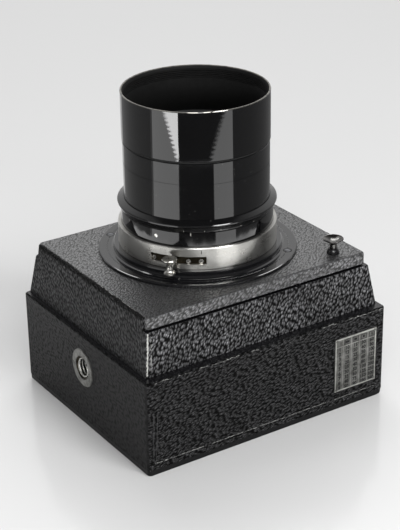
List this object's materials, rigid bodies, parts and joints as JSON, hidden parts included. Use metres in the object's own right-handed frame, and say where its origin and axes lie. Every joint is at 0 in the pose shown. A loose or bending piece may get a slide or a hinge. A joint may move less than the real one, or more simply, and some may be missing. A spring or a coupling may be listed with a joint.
{
  "type": "plate camera",
  "caption": "Box-shaped plate camera lying on its back: tapering leather-covered body, tall fast lens in a nickel focusing mount, release button and tripod socket.",
  "frame": {"origin": "where the lens axis meets the plane of the back, on which the camera lies", "axes": "+Z along the lens axis, away from the back; +X along the long side, towards the knobs; -X is the tripod side, -Y the long side with the table"},
  "size_m": [0.1469, 0.1197, 0.1565],
  "materials": {
    "black_leather": "grained, matte",
    "black_lacquer": "gloss",
    "matt_black": "matte",
    "nickel": "polished nickel, lightly worn",
    "dull_metal": "dull",
    "brass": "satin",
    "cloth": "matte",
    "spring_steel": "satin",
    "lens_glass": "polished",
    "ground": "ground"
  },
  "bodies": {
    "camera": {"rear_shell": "black_lacquer", "rear_leather": "black_leather", "back_frame": "black_lacquer", "front_shell": "black_lacquer", "skirt_leather": "black_leather", "front_leather": "black_leather", "lens_flange": "black_lacquer", "flange_screws": "nickel", "focus_housing": "nickel", "guide_keys": "brass", "tripod_plate": "dull_metal", "tripod_bush": "dull_metal", "tripod_screws": "dull_metal", "speed_table": "dull_metal", "table_pins": "dull_metal", "gate_plate": "matt_black", "side_plates": "dull_metal", "shutter_blind": "cloth", "button_bush": "black_lacquer", "button_spring": "spring_steel", "frame_screws": "black_leather", "catch_pivot": "nickel", "finder_base": "black_lacquer"},
    "winding_shaft": {"winding_roller": "brass", "winding_knob": "nickel"},
    "tension_tube": {"tension_roller": "brass", "ratchet_wheel": "brass"},
    "tension_spindle": {"tension_shaft": "dull_metal", "tension_knob": "nickel"},
    "catch": {"catch_lever": "dull_metal"},
    "button": {"release_button": "dull_metal"},
    "focusing_ring": {"focus_ring": "brass", "focus_lever": "nickel", "lever_screws": "nickel"},
    "lens": {"lens_sleeve": "black_lacquer", "lens_barrel": "black_lacquer", "lens_hood": "black_lacquer", "front_glass": "lens_glass", "front_cell": "black_lacquer", "rear_glass": "lens_glass", "rear_cell": "matt_black", "iris_base": "matt_black"},
    "iris_collar": {"iris_ring": "black_lacquer", "iris_cam_ring": "brass"},
    "screen_slide": {"focusing_back": "black_lacquer", "ground_glass": "ground", "lid_pin": "nickel"},
    "lid": {"screen_lid": "black_lacquer"},
    "latch": {"back_latch": "nickel"},
    "finder_front": {"finder_frame": "nickel", "finder_lens": "lens_glass"},
    "finder_rear": {"finder_sight": "nickel"},
    "blade_1": {"iris_blade_1": "matt_black"},
    "blade_2": {"iris_blade_2": "matt_black"},
    "blade_3": {"iris_blade_3": "matt_black"},
    "blade_4": {"iris_blade_4": "matt_black"},
    "blade_5": {"iris_blade_5": "matt_black"},
    "blade_6": {"iris_blade_6": "matt_black"},
    "blade_7": {"iris_blade_7": "matt_black"},
    "blade_8": {"iris_blade_8": "matt_black"}
  },
  "joints": [
    {"name": "lens_slide", "type": "slide", "parent": "camera", "child": "lens", "axis": [0, 0, 1], "range_m": [-0.0014, 0.0021]},
    {"name": "focus_turn", "type": "hinge", "parent": "camera", "child": "focusing_ring", "pos_m": [0, 0, 0.084], "axis": [0, 0, 1], "range_deg": [-12, 18]},
    {"name": "iris_turn", "type": "hinge", "parent": "lens", "child": "iris_collar", "pos_m": [0, 0, 0.1], "axis": [0, 0, 1], "range_deg": [0, 40]},
    {"name": "release_press", "type": "slide", "parent": "camera", "child": "button", "axis": [0, 0, -1], "range_m": [0, 0.002], "stiffness_N_per_m": 400, "springref_m": -0.003, "deforming": ["button_spring"]},
    {"name": "catch_turn", "type": "hinge", "parent": "camera", "child": "catch", "pos_m": [0.0494, -0.036, 0.031], "axis": [1, 0, 0], "range_deg": [0, 12.9]},
    {"name": "wind_turn", "type": "hinge", "parent": "camera", "child": "winding_shaft", "pos_m": [0, 0.04, 0.018], "axis": [1, 0, 0], "range_deg": [0, 540]},
    {"name": "tension_roller_turn", "type": "hinge", "parent": "camera", "child": "tension_tube", "pos_m": [0, -0.044, 0.018], "axis": [1, 0, 0], "range_deg": [0, 540]},
    {"name": "tension_set", "type": "hinge", "parent": "camera", "child": "tension_spindle", "pos_m": [0, -0.044, 0.018], "axis": [1, 0, 0], "range_deg": [0, 720]},
    {"name": "back_slide", "type": "slide", "parent": "camera", "child": "screen_slide", "axis": [1, 0, 0], "range_m": [0, 0.12]},
    {"name": "lid_swing", "type": "hinge", "parent": "screen_slide", "child": "lid", "pos_m": [0, -0.0339, 0.00095], "axis": [-1, 0, 0], "range_deg": [0, 90]},
    {"name": "latch_turn", "type": "hinge", "parent": "camera", "child": "latch", "pos_m": [0.0675, 0, 0.012], "axis": [1, 0, 0], "range_deg": [-90, 0]},
    {"name": "finder_front_fold", "type": "hinge", "parent": "camera", "child": "finder_front", "pos_m": [0, 0.0554, 0.0434], "axis": [1, 0, 0], "range_deg": [0, 90]},
    {"name": "finder_rear_fold", "type": "hinge", "parent": "camera", "child": "finder_rear", "pos_m": [0, 0.0554, 0.0086], "axis": [-1, 0, 0], "range_deg": [0, 90]},
    {"name": "blade_1_swing", "type": "hinge", "parent": "lens", "child": "blade_1", "pos_m": [0.0329, 0, 0.0966], "axis": [0, 0, 1], "range_deg": [0, 24.1]},
    {"name": "blade_2_swing", "type": "hinge", "parent": "lens", "child": "blade_2", "pos_m": [0.02326, 0.02326, 0.0966], "axis": [0, 0, 1], "range_deg": [0, 24.1]},
    {"name": "blade_3_swing", "type": "hinge", "parent": "lens", "child": "blade_3", "pos_m": [0, 0.0329, 0.0966], "axis": [0, 0, 1], "range_deg": [0, 24.1]},
    {"name": "blade_4_swing", "type": "hinge", "parent": "lens", "child": "blade_4", "pos_m": [-0.02326, 0.02326, 0.0966], "axis": [0, 0, 1], "range_deg": [0, 24.1]},
    {"name": "blade_5_swing", "type": "hinge", "parent": "lens", "child": "blade_5", "pos_m": [-0.0329, 0, 0.0966], "axis": [0, 0, 1], "range_deg": [0, 24.1]},
    {"name": "blade_6_swing", "type": "hinge", "parent": "lens", "child": "blade_6", "pos_m": [-0.02326, -0.02326, 0.0966], "axis": [0, 0, 1], "range_deg": [0, 24.1]},
    {"name": "blade_7_swing", "type": "hinge", "parent": "lens", "child": "blade_7", "pos_m": [0, -0.0329, 0.0966], "axis": [0, 0, 1], "range_deg": [0, 24.1]},
    {"name": "blade_8_swing", "type": "hinge", "parent": "lens", "child": "blade_8", "pos_m": [0.02326, -0.02326, 0.0966], "axis": [0, 0, 1], "range_deg": [0, 24.1]}
  ],
  "couplings": [
    {"joint": "focus_turn", "follows": "lens_slide", "rad_per_m": 148.4},
    {"joint": "catch_turn", "follows": "release_press", "rad_per_m": 112.05},
    {"joint": "tension_roller_turn", "follows": "wind_turn", "ratio": 1},
    {"joint": "blade_1_swing", "follows": "iris_turn", "ratio": 0.6},
    {"joint": "blade_2_swing", "follows": "iris_turn", "ratio": 0.6},
    {"joint": "blade_3_swing", "follows": "iris_turn", "ratio": 0.6},
    {"joint": "blade_4_swing", "follows": "iris_turn", "ratio": 0.6},
    {"joint": "blade_5_swing", "follows": "iris_turn", "ratio": 0.6},
    {"joint": "blade_6_swing", "follows": "iris_turn", "ratio": 0.6},
    {"joint": "blade_7_swing", "follows": "iris_turn", "ratio": 0.6},
    {"joint": "blade_8_swing", "follows": "iris_turn", "ratio": 0.6}
  ]
}
